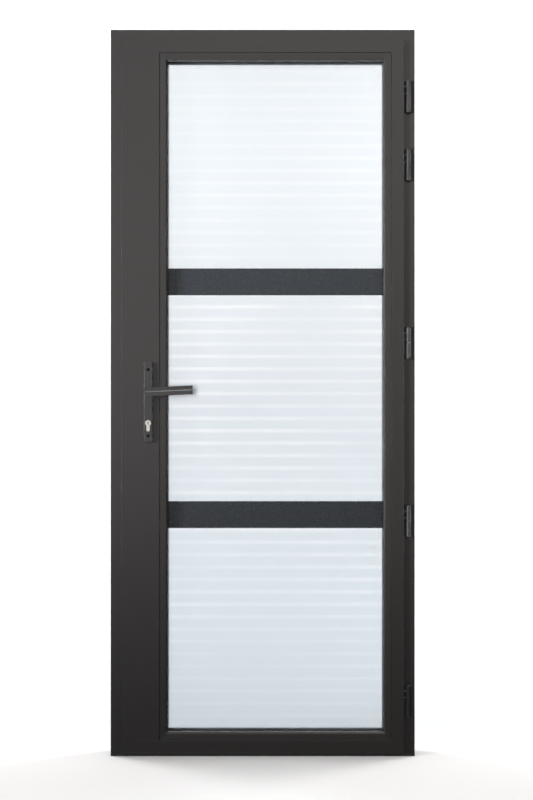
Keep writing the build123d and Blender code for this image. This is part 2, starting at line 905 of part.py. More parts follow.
# Latch with a sloping nose, and dead bolt, both drawn in
with BuildPart() as latch_bolt:
    latch_x = body_left + bolt_shy
    with BuildSketch(Plane.XY.offset(latch_span[0])):
        Polygon(
            (latch_x, bolt_y[0]),
            (latch_x, bolt_y[0] + latch_tip),
            (latch_x + latch_nose, bolt_y[1]),
            (latch_x + latch_length, bolt_y[1]),
            (latch_x + latch_length, bolt_y[0]),
            align=None,
        )
    extrude(amount=latch_height)
keep(latch_bolt, "latch_bolt")

with BuildPart() as dead_bolt:
    block((body_left + bolt_shy, body_left + dead_bolt_length), bolt_y, dead_bolt_span)
    bolt_tip = dead_bolt.faces().sort_by(Axis.X)[0].edges()
    chamfer(bolt_tip, bolt_shy)
keep(dead_bolt, "dead_bolt")

# Hook bolts on their pins, pointing down
for place, z in zip(("upper", "lower"), hook_heights):
    with BuildPart() as hook_bolt:
        with BuildSketch(front_plane(hook_y[1])):
            with Locations((hook_x, z)):
                Circle(hook_eye_radius)
            arm_x = (hook_x - hook_width / 2, hook_x + hook_width / 2)
            patch(arm_x, (z - hook_reach, z))
            patch((arm_x[0] - hook_nib, arm_x[0]), (z - hook_reach, z - hook_reach + hook_nib_height))
            with Locations((hook_x, z)):
                Circle(hook_pin_radius + running_fit, mode=Mode.SUBTRACT)
        extrude(amount=hook_depth)
    keep(hook_bolt, f"hook_bolt_{place}")

# Rods behind the faceplate, from the lock case to the hooks
with BuildPart() as drive_rods:
    rod_x = (faceplate_x[1] + rod_front_gap, faceplate_x[1] + rod_front_gap + rod_depth)
    rod_y = (lock_y - rod_width / 2, lock_y + rod_width / 2)
    upper_end = hook_slots[0][0] - rod_travel - rod_end_gap
    lower_end = hook_heights[1] + hook_pocket_above + rod_end_gap
    for span in (
        (case_high + rod_end_gap, upper_end),
        (lower_end, case_low - rod_travel - rod_end_gap),
    ):
        block(rod_x, rod_y, span)
keep(drive_rods, "drive_rods")

# Strike plate and hook keeps in the groove of the lock jamb
keep_x = (frame_left - keep_depth, frame_left)


def keep_plate(span, slot_y, windows):
    """A plate in the groove of the jamb, with a window for each bolt."""
    block(keep_x, plate_y, span)
    for window in windows:
        block(keep_x, slot_y, window, Mode.SUBTRACT)


with BuildPart() as strike_plate:
    keep_plate(
        (dead_bolt_span[0] - keep_margin, latch_span[1] + keep_margin),
        bolt_slot_y,
        [inset(latch_span, -bolt_slot_gap), inset(dead_bolt_span, -bolt_slot_gap)],
    )
keep(strike_plate, "strike_plate")

with BuildPart() as hook_keeps:
    for z in hook_heights:
        window = (z - hook_keep_below, z + hook_slot_above)
        keep_plate(inset(window, -keep_margin), hook_slot_y, [window])
keep(hook_keeps, "hook_keeps")

# Handle plate inside, and its mirror image outside
with BuildPart() as handle_plate_inside:
    with BuildSketch(front_plane(leaf_front)):
        plate_middle = spindle_height + (plate_above - plate_below) / 2
        with Locations((lock_x, plate_middle)):
            RectangleRounded(plate_width, plate_above + plate_below, plate_corner_radius)
    extrude(amount=plate_depth)
    fillet(handle_plate_inside.faces().sort_by(Axis.Y)[0].edges(), plate_edge_radius)
    drill([(lock_x, spindle_height)], neck_radius + neck_clearance, (leaf_front - plate_depth, leaf_front))
    with BuildSketch(front_plane(leaf_front)):
        cylinder_outline(fit)
    extrude(amount=plate_depth, mode=Mode.SUBTRACT)
    plate_face = front_plane(leaf_front - plate_depth).location
    with Locations(*(plate_face * Pos(lock_x, z) for z in screw_heights)):
        CounterSinkHole(screw_radius + running_fit, screw_head_radius + running_fit)
keep(handle_plate_inside, "handle_plate_inside")

with BuildPart() as handle_plate_outside:
    with BuildSketch(front_plane(leaf_back + plate_depth)):
        with Locations((lock_x, plate_middle)):
            RectangleRounded(plate_width, plate_above + plate_below, plate_corner_radius)
    extrude(amount=plate_depth)
    fillet(handle_plate_outside.faces().sort_by(Axis.Y)[-1].edges(), plate_edge_radius)
    drill([(lock_x, spindle_height)], neck_radius + neck_clearance, (leaf_back, leaf_back + plate_depth))
    bite_y = (leaf_back, leaf_back + screw_bite)
    drill([(lock_x, z) for z in screw_heights], screw_radius + running_fit, bite_y)
    with BuildSketch(front_plane(leaf_back + plate_depth)):
        cylinder_outline(fit)
    extrude(amount=plate_depth, mode=Mode.SUBTRACT)
keep(handle_plate_outside, "handle_plate_outside")

# Countersunk screws through both plates
with BuildPart() as handle_screws:
    head_y = leaf_front - plate_depth
    tip_y = leaf_back + screw_bite
    for z in screw_heights:
        with BuildSketch(Plane.XY.offset(z)) as screw_profile:
            Polygon(
                (lock_x, head_y),
                (lock_x + screw_head_radius, head_y),
                (lock_x + screw_radius, head_y + screw_head_depth),
                (lock_x + screw_radius, tip_y),
                (lock_x, tip_y),
                align=None,
            )
        revolve(screw_profile.sketch, Axis((lock_x, 0, z), (0, 1, 0)))
keep(handle_screws, "handle_screws")

# Profile cylinder with a plug at each end and the cam between them
cylinder_y = inset((leaf_front - plate_depth, leaf_back + plate_depth), -cylinder_show)
cam_slot_y = (lock_y - cam_slot_depth / 2, lock_y + cam_slot_depth / 2)
cam_y = (lock_y - cam_depth / 2, lock_y + cam_depth / 2)
cylinder_low = cylinder_z + cylinder_radius - cylinder_height

with BuildPart() as cylinder_body:
    with BuildSketch(front_plane(cylinder_y[1])):
        cylinder_outline(0)
    extrude(amount=cylinder_y[1] - cylinder_y[0])
    drill([(lock_x, cylinder_z)], plug_radius + running_fit, cylinder_y)
    block(
        (lock_x - cylinder_radius, lock_x + cylinder_radius),
        cam_slot_y,
        (cylinder_low + cam_bridge, cylinder_z + cylinder_radius),
        Mode.SUBTRACT,
    )
keep(cylinder_body, "cylinder_body")


def key_plug(span, mouth):
    """A round plug with a key slot at the end that faces out of the door."""
    with BuildSketch(front_plane(span[1])) as end:
        with Locations((lock_x, cylinder_z)):
            Circle(plug_radius)
    extrude(end.sketch, amount=span[1] - span[0])
    slot_z = (cylinder_z - key_slot_height / 2, cylinder_z + key_slot_height / 2)
    block((lock_x - key_slot_width / 2, lock_x + key_slot_width / 2), mouth, slot_z, Mode.SUBTRACT)


with BuildPart() as plug_inside:
    key_plug((cylinder_y[0], cam_y[0]), (cylinder_y[0], cylinder_y[0] + key_slot_depth))
keep(plug_inside, "plug_inside")

with BuildPart() as plug_outside:
    key_plug((cam_y[1] + seal_clearance, cylinder_y[1]), (cylinder_y[1] - key_slot_depth, cylinder_y[1]))
keep(plug_outside, "plug_outside")

with BuildPart() as cylinder_cam:
    with BuildSketch(front_plane(cam_y[1])):
        with Locations((lock_x, cylinder_z)):
            Circle(cam_radius)
        patch((lock_x - cam_width / 2, lock_x + cam_width / 2), (cylinder_z, cylinder_z + cam_reach))
    extrude(amount=cam_depth)
keep(cylinder_cam, "cylinder_cam")

# Lever inside, a bar with a narrow nose along its front on a round neck, and its mirror image outside
lever_y = leaf_front - plate_depth - lever_standoff
bar_direction = Vector(1, 0, 0).rotate(Axis.Y, -lever_tilt)
bar_plane = Plane(origin=(lock_x, lever_y, spindle_height), x_dir=(0, 1, 0), z_dir=bar_direction)
neck_y = leaf_front - plate_depth + neck_seat

with BuildPart() as lever_inside:
    with BuildSketch(bar_plane.offset(-lever_heel)):
        outline = Polygon(
            (lever_nose_drop - lever_ridge_out, lever_nose_height / 2),
            (-lever_ridge_out, -lever_nose_height / 2),
            (-lever_shoulder_out, -lever_height / 2),
            (lever_back_out, -lever_height / 2),
            (lever_back_out, lever_height / 2),
            (-lever_shoulder_out, lever_height / 2),
            align=None,
        )
        nose_low, nose_high, shoulders, back = outline.vertices().group_by(Axis.X)
        for corners, radius in (
            (nose_low + nose_high, lever_nose_radius),
            (shoulders, lever_shoulder_radius),
            (back, lever_back_radius),
        ):
            fillet(corners, radius)
    extrude(amount=lever_heel + lever_reach)
    along = lever_inside.faces().sort_by(Axis.X)
    fillet(along[0].edges() + along[-1].edges(), lever_end_radius)
    with BuildSketch(front_plane(neck_y)):
        with Locations((lock_x, spindle_height)):
            Circle(neck_radius)
    extrude(amount=neck_y - lever_y)
    with BuildSketch(front_plane(neck_y)):
        with Locations((lock_x, spindle_height)):
            Rectangle(spindle_side + spindle_fit * 2, spindle_side + spindle_fit * 2)
    extrude(amount=socket_depth, mode=Mode.SUBTRACT)
keep(lever_inside, "lever_inside")

with BuildPart() as lever_outside:
    mirror(lever_inside.part, about=Plane.XZ)
keep(lever_outside, "lever_outside")

# Square spindle through the lock, from lever to lever
with BuildPart() as spindle:
    half_side = spindle_side / 2
    spindle_end = socket_depth - neck_seat - seal_clearance
    block(
        (lock_x - half_side, lock_x + half_side),
        inset((leaf_front - plate_depth, leaf_back + plate_depth), -spindle_end),
        (spindle_height - half_side, spindle_height + half_side),
    )
keep(spindle, "spindle")
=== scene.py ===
import bmesh
import bpy
import json
import math
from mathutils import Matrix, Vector


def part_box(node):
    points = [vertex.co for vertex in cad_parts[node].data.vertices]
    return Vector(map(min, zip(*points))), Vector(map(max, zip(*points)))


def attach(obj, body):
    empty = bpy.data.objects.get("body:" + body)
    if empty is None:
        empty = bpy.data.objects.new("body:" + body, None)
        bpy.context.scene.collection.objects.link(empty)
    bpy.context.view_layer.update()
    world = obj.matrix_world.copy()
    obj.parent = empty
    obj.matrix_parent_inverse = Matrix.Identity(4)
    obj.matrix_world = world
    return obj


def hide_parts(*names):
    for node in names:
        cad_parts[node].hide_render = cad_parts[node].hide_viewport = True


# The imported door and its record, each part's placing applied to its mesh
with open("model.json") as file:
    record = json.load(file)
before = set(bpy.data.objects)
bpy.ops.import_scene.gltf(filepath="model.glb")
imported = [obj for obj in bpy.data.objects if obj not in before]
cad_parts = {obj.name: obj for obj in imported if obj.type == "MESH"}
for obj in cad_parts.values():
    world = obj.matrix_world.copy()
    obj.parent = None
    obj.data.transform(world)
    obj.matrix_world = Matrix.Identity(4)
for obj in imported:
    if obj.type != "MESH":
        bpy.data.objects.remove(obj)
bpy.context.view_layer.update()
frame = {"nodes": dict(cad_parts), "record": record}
door = frame["nodes"]

# What the camera sees: the photograph's frame and its view, square on to the leaf
IMAGE_WIDTH = 533
IMAGE_HEIGHT = 800
CAMERA_X = 0.0113
CAMERA_HEIGHT = 1.054
CAMERA_DISTANCE = 4.0
VIEW_HEIGHT = 2.363
SENSOR_HEIGHT = 24.0
LEAF_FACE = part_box("leaf_lock_stile")[0].y


def node(tree, kind, inputs=(), **settings):
    """A new node with its settings; an input is a value or the socket that feeds it."""
    made = tree.nodes.new(kind)
    for name, value in settings.items():
        setattr(made, name, value)
    for name, value in dict(inputs).items():
        if isinstance(value, bpy.types.NodeSocket):
            tree.links.new(value, made.inputs[name])
        else:
            made.inputs[name].default_value = value
    return made


def figure(tree, operation, *values):
    """A number worked out from one or two others."""
    return node(tree, "ShaderNodeMath", dict(enumerate(values)), operation=operation).outputs[0]


def times(tree, first, second):
    """One number times another."""
    return figure(tree, "MULTIPLY", first, second)


def ramp(tree, value, start, end, low=0.0, high=1.0, blend="LINEAR"):
    """A number that goes from low to high while a value goes from start to end."""
    made = node(
        tree,
        "ShaderNodeMapRange",
        {"Value": value, "From Min": start, "From Max": end, "To Min": low, "To Max": high},
        interpolation_type=blend,
    )
    return made.outputs["Result"]


def between(tree, factor, low, high):
    """A number that goes from low to high with a factor."""
    return ramp(tree, factor, 0.0, 1.0, low, high)


def number_mix(tree, factor, first, second):
    """The number mix node's own sockets: factor, two numbers or their sources, and the result."""
    return node(tree, "ShaderNodeMix", {0: factor, 2: first, 3: second}).outputs[0]


def colour_mix(tree, factor, first, second):
    """The colour mix node's own sockets: factor, two colours or their sources, and the result."""
    made = tree.nodes.new("ShaderNodeMix")
    made.data_type = "RGBA"
    sockets = {0: factor, 6: first, 7: second}
    for place, value in sockets.items():
        if isinstance(value, bpy.types.NodeSocket):
            tree.links.new(value, made.inputs[place])
        else:
            made.inputs[place].default_value = value if place == 0 else (*value, 1.0)
    return made.outputs[2]


def finish_of(name, **shader_values):
    """A new material: its tree, its shader with the given values, and object coordinates."""
    material = bpy.data.materials.new(name)
    material.use_nodes = True
    tree = material.node_tree
    shader = tree.nodes["Principled BSDF"]
    for key, value in shader_values.items():
        shader.inputs[key.replace("_", " ")].default_value = value
    place = node(tree, "ShaderNodeTexCoord").outputs["Object"]
    return material, tree, shader, place


def stretched(tree, place, scale):
    """Coordinates with a scale of their own along each axis, for streaks."""
    return node(tree, "ShaderNodeMapping", {"Vector": place, "Scale": scale}).outputs["Vector"]


def noise(tree, place, scale, detail=2.0):
    """Soft noise between 0 and 1 at a scale of so many spots to the metre."""
    made = node(tree, "ShaderNodeTexNoise", {"Vector": place, "Scale": scale, "Detail": detail})
    return made.outputs["Fac"]


def bump(tree, shader, height, strength, depth):
    """Fine relief on the shader's normal."""
    made = node(tree, "ShaderNodeBump", {"Height": height, "Strength": strength, "Distance": depth})
    tree.links.new(made.outputs["Normal"], shader.inputs["Normal"])


COAT_DRIFT = 4.0
COAT_SHEEN = 60.0
COAT_PEEL = 1100.0
PEEL_STRENGTH = 0.12
PEEL_DEPTH = 0.0002


def powder_coat(name, dark, light, smooth, rough, shine=0.7):
    """Anthracite powder coat: a fine orange peel, a slow drift of tone and of sheen."""
    material, tree, shader, place = finish_of(name, Specular_IOR_Level=shine)
    drift = noise(tree, place, COAT_DRIFT, detail=3.0)
    tree.links.new(colour_mix(tree, drift, dark, light), shader.inputs["Base Color"])
    sheen = noise(tree, place, COAT_SHEEN, detail=4.0)
    tree.links.new(between(tree, sheen, smooth, rough), shader.inputs["Roughness"])
    bump(tree, shader, noise(tree, place, COAT_PEEL), PEEL_STRENGTH, PEEL_DEPTH)
    return material


BLOOM_SPOTS = 220.0
RUBBER_SMOOTH = 0.55
RUBBER_ROUGH = 0.8
PORE_SPOTS = 1600.0
PORE_STRENGTH = 0.2
PORE_DEPTH = 0.0001


def rubber(name, dark, light):
    """Matt seal rubber or moulded plastic with a faint bloom."""
    material, tree, shader, place = finish_of(name)
    bloom = noise(tree, place, BLOOM_SPOTS, detail=4.0)
    tree.links.new(colour_mix(tree, bloom, dark, light), shader.inputs["Base Color"])
    tree.links.new(between(tree, bloom, RUBBER_SMOOTH, RUBBER_ROUGH), shader.inputs["Roughness"])
    bump(tree, shader, noise(tree, place, PORE_SPOTS), PORE_STRENGTH, PORE_DEPTH)
    return material


LINE_STRENGTH = 0.1
LINE_DEPTH = 0.0001


def drawn_metal(name, dark, light, along, smooth, rough):
    """Bare metal with fine lines along the way it was drawn or brushed."""
    material, tree, shader, place = finish_of(name, Metallic=1.0)
    lines = noise(tree, stretched(tree, place, along), 1.0, detail=5.0)
    tree.links.new(colour_mix(tree, lines, dark, light), shader.inputs["Base Color"])
    tree.links.new(between(tree, lines, smooth, rough), shader.inputs["Roughness"])
    bump(tree, shader, lines, LINE_STRENGTH, LINE_DEPTH)
    return material


GLASS_IOR = 1.5
CLEAR_ALPHA = 0.10
SMEAR_SPOTS = 6.0
WIPED_ROUGHNESS = 0.02
SMEARED_ROUGHNESS = 0.07
DEEP_TINT = (0.05, 0.07, 0.095)
PALE_TINT = (0.08, 0.10, 0.125)


def clear_glass(name):
    """A clear pane: nearly all see-through, with a slight cold tint and a few faint smears."""
    material, tree, shader, place = finish_of(name, IOR=GLASS_IOR, Alpha=CLEAR_ALPHA)
    smears = noise(tree, place, SMEAR_SPOTS, detail=4.0)
    sheen = between(tree, smears, WIPED_ROUGHNESS, SMEARED_ROUGHNESS)
    tree.links.new(sheen, shader.inputs["Roughness"])
    tree.links.new(colour_mix(tree, smears, DEEP_TINT, PALE_TINT), shader.inputs["Base Color"])
    return material


# The stripes: their pitch, the height of one of them and its share of the pitch; how far its full
# core and its soft edge reach from its middle, in shares of its width; how weak it gets in patches;
# and the heights between which the stripes fade, towards the foot and towards the top, where the
# fade is painted light, glare that washes the stripes out
STRIPE_PITCH = 0.037
STRIPE_AT = 1.147
STRIPE_SHARE = 0.26
CORE_SHARE = 0.35
EDGE_SHARE = 0.75
PATCH_STRETCH = (2.2, 1.0, 5.0)
PATCH_RANGE = (0.35, 0.65)
WEAKEST_PATCH = 0.35
FADES_BELOW = (0.2, 0.9)
FOOT_STRENGTH = 0.45
GLARE_FADES_ABOVE = (1.36, 1.46)
GLARE_TOP_STRENGTH = 0.45
SATIN_TRANSMISSION = 0.97
SATIN_FIELD = (0.793, 0.830, 0.857)
SATIN_STRIPE = (0.985, 0.99, 0.995)
FIELD_ROUGHNESS = 0.38
STRIPE_ROUGHNESS = 0.28
SATIN_SPOTS = 700.0
SATIN_STRENGTH = 0.05
SATIN_DEPTH = 0.0002


def striped_satin_glass(name):
    """A satin pane with bright level stripes that fade in and out across it; their fade towards the
    top is painted light, glare that washes them out.
    """
    material, tree, shader, place = finish_of(
        name, IOR=GLASS_IOR, Transmission_Weight=SATIN_TRANSMISSION
    )
    height = node(tree, "ShaderNodeSeparateXYZ", {"Vector": place}).outputs["Z"]
    above = figure(tree, "SUBTRACT", height, STRIPE_AT)
    halves = figure(tree, "ADD", above, STRIPE_PITCH / 2)
    phase = figure(tree, "FRACT", figure(tree, "DIVIDE", halves, STRIPE_PITCH))
    distance = figure(tree, "ABSOLUTE", figure(tree, "SUBTRACT", phase, 0.5))
    core, edge = STRIPE_SHARE * CORE_SHARE, STRIPE_SHARE * EDGE_SHARE
    stripe = ramp(tree, distance, core, edge, 1.0, 0.0, "SMOOTHSTEP")
    patches = noise(tree, stretched(tree, place, PATCH_STRETCH), 1.0)
    strength = ramp(tree, patches, *PATCH_RANGE, WEAKEST_PATCH, 1.0)
    from_foot = ramp(tree, height, *FADES_BELOW, FOOT_STRENGTH, 1.0)
    # Painted light: towards the top the stripes fade as if washed out by glare
    glare_to_top = ramp(tree, height, *GLARE_FADES_ABOVE, 1.0, GLARE_TOP_STRENGTH)
    lasting = times(tree, strength, times(tree, from_foot, glare_to_top))
    shown = times(tree, stripe, lasting)
    tree.links.new(colour_mix(tree, shown, SATIN_FIELD, SATIN_STRIPE), shader.inputs["Base Color"])
    sheen = between(tree, shown, FIELD_ROUGHNESS, STRIPE_ROUGHNESS)
    tree.links.new(sheen, shader.inputs["Roughness"])
    bump(tree, shader, noise(tree, place, SATIN_SPOTS), SATIN_STRENGTH, SATIN_DEPTH)
    return material


finishes = {
    "anthracite": powder_coat(
        "anthracite_coat",
        dark=(0.0165, 0.0155, 0.0152),
        light=(0.0195, 0.0183, 0.018),
        smooth=0.22,
        rough=0.28,
    ),
    "fittings": powder_coat(
        "fittings_coat",
        dark=(0.016, 0.0155, 0.0155),
        light=(0.019, 0.0185, 0.0185),
        smooth=0.12,
        rough=0.16,
    ),
    "seal": rubber("seal_rubber", dark=(0.008, 0.008, 0.009), light=(0.014, 0.014, 0.015)),
    "polyamide": rubber("black_polyamide", dark=(0.010, 0.010, 0.011), light=(0.020, 0.020, 0.021)),
    "clear_glass": clear_glass("clear_pane"),
    "satin_glass": striped_satin_glass("striped_satin_pane"),
    "cast_aluminium": drawn_metal(
        "cast_aluminium",
        dark=(0.50, 0.50, 0.51),
        light=(0.62, 0.62, 0.63),
        along=(90.0, 90.0, 90.0),
        smooth=0.42,
        rough=0.6,
    ),
    "steel": drawn_metal(
        "drawn_steel",
        dark=(0.44, 0.44, 0.45),
        light=(0.58, 0.58, 0.59),
        along=(900.0, 900.0, 12.0),
        smooth=0.26,
        rough=0.42,
    ),
    "nickelled_brass": drawn_metal(
        "nickelled_brass",
        dark=(0.93, 0.89, 0.82),
        light=(0.99, 0.97, 0.93),
        along=(600.0, 30.0, 600.0),
        smooth=0.16,
        rough=0.26,
    ),
}

slot_of = {part["node"]: part["material_slot"] for part in frame["record"]["subparts"]}
for name, piece in door.items():
    piece.data.materials.clear()
    piece.data.materials.append(finishes[slot_of[name]])

# Finishes of their own: a pale spacer between the panes, a darker coat on the crossbars, black
# screws, whose black on the key pins is painted shade
pale_spacer = rubber("pale_spacer", dark=(0.50, 0.52, 0.54), light=(0.60, 0.62, 0.64))
door["glass_spacer"].data.materials[0] = pale_spacer
bar_coat = powder_coat(
    "crossbar_coat",
    dark=(0.0060, 0.0064, 0.0068),
    light=(0.0075, 0.0080, 0.0084),
    smooth=0.24,
    rough=0.30,
    shine=0.77,
)
for bar in ("crossbar_upper", "crossbar_lower"):
    door[bar].data.materials[0] = bar_coat
# Black for the screws; on the key pins the same black is painted shade in the keyways
black_screw_and_keyway_shade = drawn_metal(
    "blackened_screw_and_keyway_shade",
    dark=(0.020, 0.020, 0.021),
    light=(0.045, 0.045, 0.046),
    along=(300.0, 300.0, 300.0),
    smooth=0.35,
    rough=0.5,
)


def growth_tree(name, sizes):
    """A geometry tree with a named input for each size, and what its entry gives."""
    tree = bpy.data.node_groups.new(name, "GeometryNodeTree")
    tree.interface.new_socket("Geometry", in_out="INPUT", socket_type="NodeSocketGeometry")
    for label, kind in sizes.items():
        tree.interface.new_socket(label, in_out="INPUT", socket_type="NodeSocket" + kind)
    tree.interface.new_socket("Geometry", in_out="OUTPUT", socket_type="NodeSocketGeometry")
    return tree, tree.nodes.new("NodeGroupInput").outputs


def joined(tree, shapes):
    """Several shapes in one geometry."""
    made = tree.nodes.new("GeometryNodeJoinGeometry")
    for shape in shapes:
        tree.links.new(shape, made.inputs["Geometry"])
    return made.outputs["Geometry"]


def shifted(tree, shape, shift):
    """A shape shifted by a vector."""
    made = node(tree, "GeometryNodeTransform", {"Geometry": shape, "Translation": shift})
    return made.outputs["Geometry"]


def moved(tree, shape, x=0.0, y=0.0, z=0.0):
    """A shape shifted along its own axes."""
    shift = node(tree, "ShaderNodeCombineXYZ", {"X": x, "Y": y, "Z": z}).outputs["Vector"]
    return shifted(tree, shape, shift)


def end_tree(tree, shape, material):
    """The tree's end: real geometry with its material."""
    real = node(tree, "GeometryNodeRealizeInstances", {"Geometry": shape}).outputs["Geometry"]
    coated = node(tree, "GeometryNodeSetMaterial", {"Geometry": real, "Material": material})
    end = tree.nodes.new("NodeGroupOutput")
    tree.links.new(coated.outputs["Geometry"], end.inputs["Geometry"])


SCREW_SIDES = 32
SOCKET_SIDES = 6


def screw_tree(name, material):
    """Screws with a hexagon socket, one on each point, all facing one way."""
    tree, given = growth_tree(
        name,
        {
            "Face Radius": "Float",
            "Base Radius": "Float",
            "Head Height": "Float",
            "Shank Radius": "Float",
            "Shank Length": "Float",
            "Socket Radius": "Float",
            "Socket Depth": "Float",
            "Facing": "Vector",
        },
    )
    down = times(tree, given["Head Height"], -1.0)
    cone = node(
        tree,
        "GeometryNodeMeshCone",
        {
            "Vertices": SCREW_SIDES,
            "Radius Top": given["Face Radius"],
            "Radius Bottom": given["Base Radius"],
            "Depth": given["Head Height"],
        },
    ).outputs["Mesh"]
    key_hole = node(
        tree,
        "GeometryNodeMeshCylinder",
        {
            "Vertices": SOCKET_SIDES,
            "Radius": given["Socket Radius"],
            "Depth": times(tree, given["Socket Depth"], 2.0),
        },
    ).outputs["Mesh"]
    cut = tree.nodes.new("GeometryNodeMeshBoolean")
    cut.operation = "DIFFERENCE"
    tree.links.new(moved(tree, cone, z=down), cut.inputs["Mesh 1"])
    tree.links.new(key_hole, cut.inputs["Mesh 2"])
    shank = node(
        tree,
        "GeometryNodeMeshCylinder",
        {
            "Vertices": SCREW_SIDES,
            "Radius": given["Shank Radius"],
            "Depth": given["Shank Length"],
        },
    ).outputs["Mesh"]
    below = figure(tree, "ADD", down, times(tree, given["Shank Length"], -0.5))
    screw = joined(tree, [cut.outputs["Mesh"], moved(tree, shank, z=below)])
    placed = node(
        tree,
        "GeometryNodeInstanceOnPoints",
        {"Points": given["Geometry"], "Instance": screw, "Rotation": given["Facing"]},
    ).outputs["Instances"]
    end_tree(tree, placed, material)
    return tree


BEND_STEPS = 5
LIP_SIDES = 12
ACROSS_THE_WALL = (0.0, 1.0, 0.0)


def gasket_tree(name, material):
    """A rubber profile drawn along a path: a flat foot with a round lip on it."""
    tree, given = growth_tree(
        name,
        {
            "Foot Width": "Float",
            "Foot Depth": "Float",
            "Lip Radius": "Float",
            "Lip Rise": "Float",
            "Lip Shift": "Float",
            "Bend Radius": "Float",
        },
    )
    path = node(tree, "GeometryNodeMeshToCurve", {"Mesh": given["Geometry"]}).outputs["Curve"]
    bent = node(
        tree,
        "GeometryNodeFilletCurve",
        {"Curve": path, "Count": BEND_STEPS, "Radius": given["Bend Radius"]},
        mode="POLY",
    ).outputs["Curve"]
    upright = node(
        tree,
        "GeometryNodeSetCurveNormal",
        {"Curve": bent, "Normal": ACROSS_THE_WALL},
        mode="FREE",
    ).outputs["Curve"]
    foot = node(
        tree,
        "GeometryNodeCurvePrimitiveQuadrilateral",
        {"Width": given["Foot Depth"], "Height": given["Foot Width"]},
    ).outputs["Curve"]
    lip = node(
        tree,
        "GeometryNodeCurvePrimitiveCircle",
        {"Resolution": LIP_SIDES, "Radius": given["Lip Radius"]},
    ).outputs["Curve"]
    section = joined(tree, [foot, moved(tree, lip, x=given["Lip Rise"], y=given["Lip Shift"])])
    drawn = node(
        tree,
        "GeometryNodeCurveToMesh",
        {"Curve": upright, "Profile Curve": section, "Fill Caps": True},
    ).outputs["Mesh"]
    end_tree(tree, drawn, material)
    return tree


TUFT_SIDES = 5


def brush_tree(name, material):
    """Rows of tufts along the given lines, each leaning a little its own way, under a holder."""
    tree, given = growth_tree(
        name,
        {
            "Spacing": "Float",
            "Tuft Radius": "Float",
            "Tip Radius": "Float",
            "Tuft Length": "Float",
            "Least Turn": "Vector",
            "Most Turn": "Vector",
            "Seed": "Int",
            "Holder Size": "Vector",
            "Holder Place": "Vector",
        },
    )
    rows = node(tree, "GeometryNodeMeshToCurve", {"Mesh": given["Geometry"]}).outputs["Curve"]
    spots = node(
        tree,
        "GeometryNodeCurveToPoints",
        {"Curve": rows, "Length": given["Spacing"]},
        mode="LENGTH",
    ).outputs["Points"]
    tuft = node(
        tree,
        "GeometryNodeMeshCone",
        {
            "Vertices": TUFT_SIDES,
            "Radius Top": given["Tuft Radius"],
            "Radius Bottom": given["Tip Radius"],
            "Depth": given["Tuft Length"],
        },
    ).outputs["Mesh"]
    hung = moved(tree, tuft, z=times(tree, given["Tuft Length"], -1.0))
    turn = node(
        tree,
        "FunctionNodeRandomValue",
        {"Min": given["Least Turn"], "Max": given["Most Turn"], "Seed": given["Seed"]},
        data_type="FLOAT_VECTOR",
    ).outputs["Value"]
    tufts = node(
        tree,
        "GeometryNodeInstanceOnPoints",
        {"Points": spots, "Instance": hung, "Rotation": turn},
    ).outputs["Instances"]
    block = node(tree, "GeometryNodeMeshCube", {"Size": given["Holder Size"]}).outputs["Mesh"]
    holder = shifted(tree, block, given["Holder Place"])
    end_tree(tree, joined(tree, [tufts, holder]), material)
    return tree


SHARP_ANGLE = math.radians(35.0)
MERGE_DISTANCE = 1e-6


def grown(name, tree, points, edges, sizes):
    """The plain mesh that a tree grows on points and edges, its inputs set by their identifiers."""
    start = bpy.data.meshes.new(name + "_start")
    start.from_pydata(points, edges, [])
    piece = bpy.data.objects.new(name, start)
    bpy.context.scene.collection.objects.link(piece)
    growth = piece.modifiers.new("growth", "NODES")
    growth.node_group = tree
    for socket in tree.interface.items_tree:
        if socket.in_out == "INPUT" and socket.name in sizes:
            growth[socket.identifier] = sizes[socket.name]
    evaluated = piece.evaluated_get(bpy.context.evaluated_depsgraph_get())
    mesh = bpy.data.meshes.new_from_object(evaluated)
    piece.modifiers.remove(growth)
    piece.data = mesh
    bpy.data.meshes.remove(start)
    mesh.name = name
    edit = bmesh.new()
    edit.from_mesh(mesh)
    bmesh.ops.remove_doubles(edit, verts=edit.verts, dist=MERGE_DISTANCE)
    bmesh.ops.recalc_face_normals(edit, faces=edit.faces)
    edit.to_mesh(mesh)
    edit.free()
    coat = next(material for material in mesh.materials if material)
    mesh.materials.clear()
    mesh.materials.append(coat)
    for face in mesh.polygons:
        face.material_index = 0
        face.use_smooth = True
    mesh.set_sharp_from_angle(angle=SHARP_ANGLE)
    return piece


def fitted(piece, body, slot, *stands_for):
    """A finished piece on its body, and the nodes that it stands for hidden; its slot is not used."""
    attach(piece, body)
    if stands_for:
        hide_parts(*stands_for)


MM = 0.001
TO_THE_ROOM = (math.pi / 2, 0.0, 0.0)
TO_THE_JAMB = (0.0, -math.pi / 2, 0.0)
TO_THE_LEAF = (0.0, math.pi / 2, 0.0)
UPWARDS = (0.0, 0.0, 0.0)
DOWNWARDS = (math.pi, 0.0, 0.0)


def screw_sizes(face, base, height, shank, length, socket, depth, facing):
    """The screw tree's inputs, from millimetres."""
    return {
        "Face Radius": face * MM,
        "Base Radius": base * MM,
        "Head Height": height * MM,
        "Shank Radius": shank * MM,
        "Shank Length": length * MM,
        "Socket Radius": socket * MM,
        "Socket Depth": depth * MM,
        "Facing": facing,
    }


